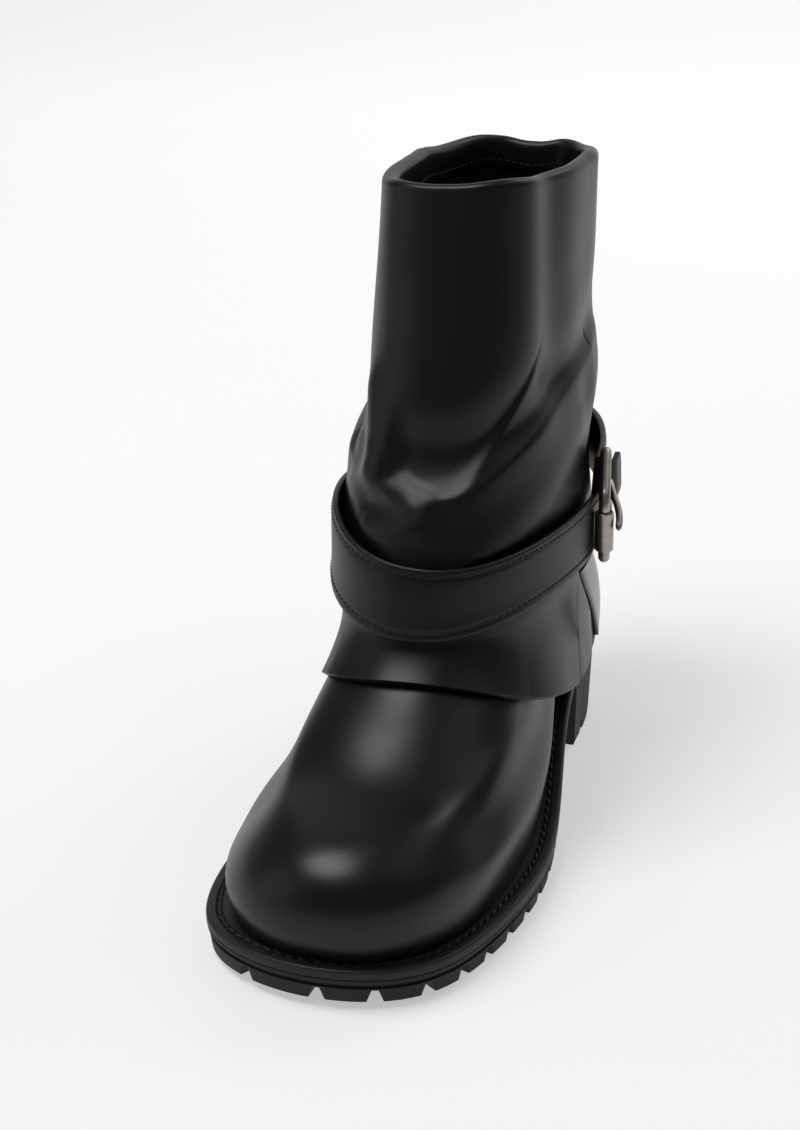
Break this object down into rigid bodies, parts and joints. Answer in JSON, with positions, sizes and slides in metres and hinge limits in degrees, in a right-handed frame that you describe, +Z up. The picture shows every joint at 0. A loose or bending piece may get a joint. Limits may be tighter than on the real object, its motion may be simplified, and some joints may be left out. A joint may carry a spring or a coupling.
{
  "type": "pull-on ankle boot",
  "caption": "Left pull-on leather ankle boot with a round toe, slouched shaft, flared skirt over the vamp, buckled ankle strap, welt, lugged sole and block heel.",
  "frame": {"origin": "centre of the boot's box at floor level, under the sole", "axes": "+Z up, +Y towards the heel (toe at -Y), +X to the outer side of the left foot"},
  "size_m": [0.1206, 0.2846, 0.2447],
  "materials": {
    "sole_rubber": "matte black moulded rubber",
    "welt_rubber": "black, slightly satin edge",
    "lining": "matte black lining leather",
    "vamp_leather": "smooth satin black leather",
    "shaft_leather": "smooth satin black leather",
    "strap_leather": "satin black leather",
    "nickel": "brushed antique nickel"
  },
  "bodies": {
    "root": {"outsole": "sole_rubber", "heel": "sole_rubber", "welt": "welt_rubber", "insole": "lining", "upper": "vamp_leather", "shaft": "shaft_leather", "strap": "strap_leather", "strap_tail": "strap_leather", "buckle_frame": "nickel", "buckle_roller": "nickel", "buckle_prong": "nickel"}
  },
  "joints": []
}
